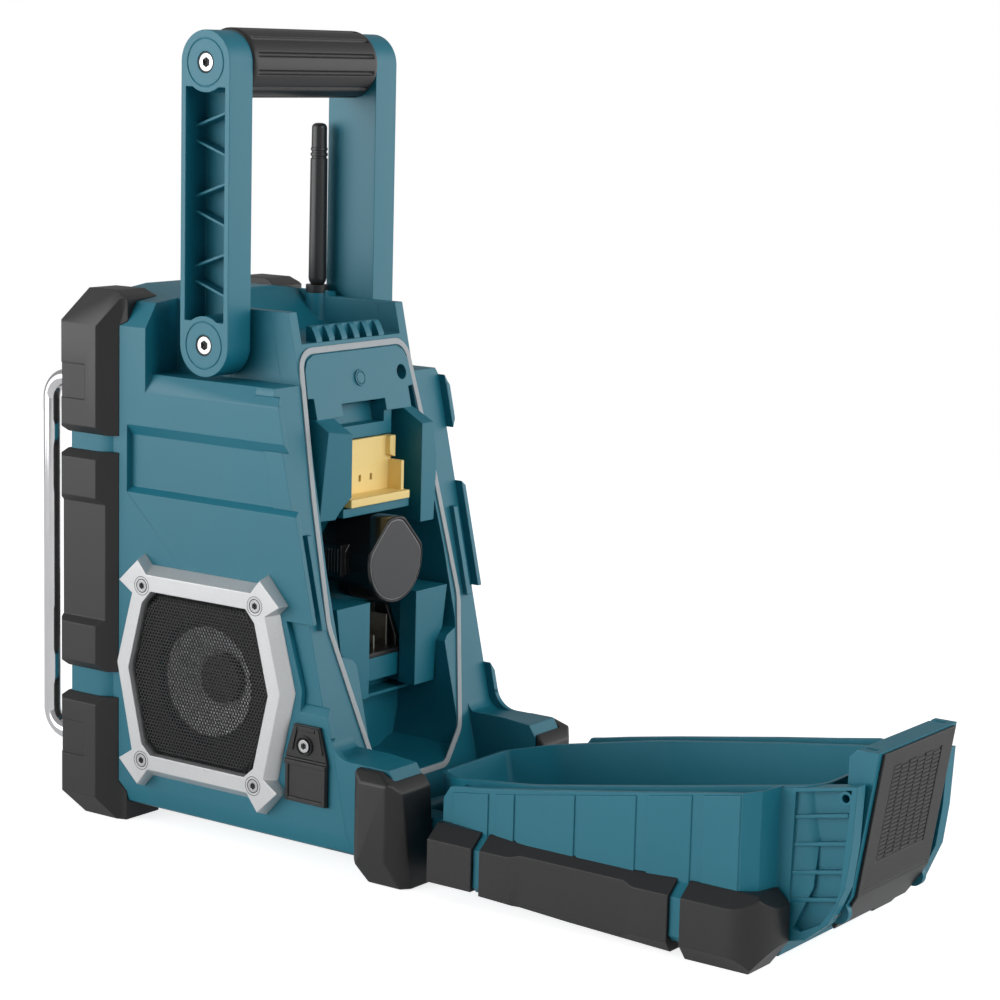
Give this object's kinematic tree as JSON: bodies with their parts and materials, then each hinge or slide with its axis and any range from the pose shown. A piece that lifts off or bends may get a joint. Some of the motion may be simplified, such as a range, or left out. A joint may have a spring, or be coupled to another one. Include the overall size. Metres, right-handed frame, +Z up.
{
  "type": "jobsite radio",
  "caption": "Rugged portable radio with corner bumpers, guard bars, folding carry handle, side speakers and a rear cover that hinges open over the battery bay.",
  "frame": {"origin": "floor point under the middle of the whole object, cover open", "axes": "+X the radio's right-hand side, +Y to the rear and the open cover, +Z up"},
  "size_m": [0.163, 0.4988, 0.4271],
  "materials": {
    "housing_teal": "satin moulded",
    "bumper_black": "matte overmould",
    "bar_chrome": "polished",
    "gasket_grey": "matte",
    "bezel_silver": "satin",
    "grille_steel": "satin",
    "screw_steel": "turned",
    "black_plastic": "satin",
    "battery_black": "gloss",
    "cap_yellow": "satin",
    "blade_brass": "plated",
    "cone_paper": "matte paper",
    "frame_steel": "stamped",
    "board_green": "solder mask",
    "screen_glass": "clear",
    "screen_module": "flat",
    "antenna_black": "satin"
  },
  "bodies": {
    "housing": {"front_shell": "housing_teal", "rear_shell": "housing_teal", "front_bumper_upper_right": "bumper_black", "front_bumper_upper_left": "bumper_black", "front_bumper_middle_right": "bumper_black", "front_bumper_middle_left": "bumper_black", "front_bumper_lower_right": "bumper_black", "front_bumper_lower_left": "bumper_black", "rear_foot_right": "bumper_black", "rear_foot_left": "bumper_black", "guard_bar_right": "bar_chrome", "guard_bar_left": "bar_chrome", "gasket": "gasket_grey", "speaker_bezel_right": "bezel_silver", "speaker_bezel_left": "bezel_silver", "speaker_grille_right": "grille_steel", "speaker_grille_left": "grille_steel", "socket_screws": "screw_steel", "shell_screws": "screw_steel", "pivot_bolts": "screw_steel", "hinge_pins": "screw_steel", "usb_socket": "screw_steel", "control_panel": "black_plastic", "terminal_block": "black_plastic", "port_cover_right": "black_plastic", "port_cover_left": "black_plastic", "dc_socket": "black_plastic", "aux_socket": "black_plastic", "terminal_blades": "blade_brass", "speaker_cone_right": "cone_paper", "speaker_cone_left": "cone_paper", "speaker_frame_right": "frame_steel", "speaker_frame_left": "frame_steel", "main_board": "board_green", "lcd_window": "screen_glass", "lcd_module": "screen_module", "antenna_base": "antenna_black"},
    "handle": {"handle_arm_right": "housing_teal", "handle_arm_left": "housing_teal", "handle_grip": "bumper_black", "handle_tube": "screw_steel", "handle_bolts": "screw_steel"},
    "antenna": {"antenna_rod": "antenna_black"},
    "cover": {"cover_shell": "housing_teal", "cover_bumpers_right": "bumper_black", "cover_bumpers_left": "bumper_black"},
    "latch": {"latch_frame": "housing_teal", "latch_pad": "bumper_black", "latch_pin": "screw_steel"},
    "battery": {"battery_case": "battery_black"},
    "cap": {"terminal_cap": "cap_yellow"},
    "flap_right": {"port_flap_right": "bumper_black"},
    "flap_left": {"port_flap_left": "bumper_black"},
    "knob_left": {"knob_left": "black_plastic"},
    "knob_right": {"knob_right": "black_plastic"},
    "button_1": {"button_1": "black_plastic"},
    "button_2": {"button_2": "black_plastic"},
    "button_3": {"button_3": "black_plastic"},
    "button_4": {"button_4": "black_plastic"},
    "button_5": {"button_5": "black_plastic"}
  },
  "joints": [
    {"name": "handle_fold", "type": "hinge", "parent": "housing", "child": "handle", "pos_m": [0, -0.13818, 0.2638], "axis": [-1, 0, 0], "range_deg": [0, 82]},
    {"name": "antenna_bend", "type": "hinge", "parent": "housing", "child": "antenna", "pos_m": [-0.043, -0.15438, 0.292], "axis": [-1, 0, 0], "range_deg": [-45, 45], "stiffness_Nm_per_rad": 0.05},
    {"name": "cover_hinge", "type": "hinge", "parent": "housing", "child": "cover", "pos_m": [0, -0.01738, 0.027], "axis": [1, 0, 0], "range_deg": [0, 93.35]},
    {"name": "latch_hinge", "type": "hinge", "parent": "cover", "child": "latch", "pos_m": [0, 0.23062, 0.028], "axis": [1, 0, 0], "range_deg": [-40, 4]},
    {"name": "battery_slide", "type": "slide", "parent": "housing", "child": "battery", "axis": [0, -1, 0], "range_m": [-0.06, 0]},
    {"name": "terminal_cap_slide", "type": "slide", "parent": "housing", "child": "cap", "axis": [0, -1, 0], "range_m": [-0.03, 0]},
    {"name": "flap_hinge_right", "type": "hinge", "parent": "housing", "child": "flap_right", "pos_m": [0.0752, -0.06073, 0.057], "axis": [0, -1, 0], "range_deg": [0, 100]},
    {"name": "flap_hinge_left", "type": "hinge", "parent": "housing", "child": "flap_left", "pos_m": [-0.0752, -0.06073, 0.057], "axis": [0, 1, 0], "range_deg": [0, 100]},
    {"name": "knob_turn_left", "type": "hinge", "parent": "housing", "child": "knob_left", "pos_m": [-0.023, -0.23038, 0.1], "axis": [0, 1, 0], "continuous": true},
    {"name": "knob_turn_right", "type": "hinge", "parent": "housing", "child": "knob_right", "pos_m": [0.023, -0.23038, 0.1], "axis": [0, 1, 0], "continuous": true},
    {"name": "button_press_1", "type": "slide", "parent": "housing", "child": "button_1", "axis": [0, 1, 0], "range_m": [0, 0.0012], "stiffness_N_per_m": 300},
    {"name": "button_press_2", "type": "slide", "parent": "housing", "child": "button_2", "axis": [0, 1, 0], "range_m": [0, 0.0012], "stiffness_N_per_m": 300},
    {"name": "button_press_3", "type": "slide", "parent": "housing", "child": "button_3", "axis": [0, 1, 0], "range_m": [0, 0.0012], "stiffness_N_per_m": 300},
    {"name": "button_press_4", "type": "slide", "parent": "housing", "child": "button_4", "axis": [0, 1, 0], "range_m": [0, 0.0012], "stiffness_N_per_m": 300},
    {"name": "button_press_5", "type": "slide", "parent": "housing", "child": "button_5", "axis": [0, 1, 0], "range_m": [0, 0.0012], "stiffness_N_per_m": 300}
  ]
}
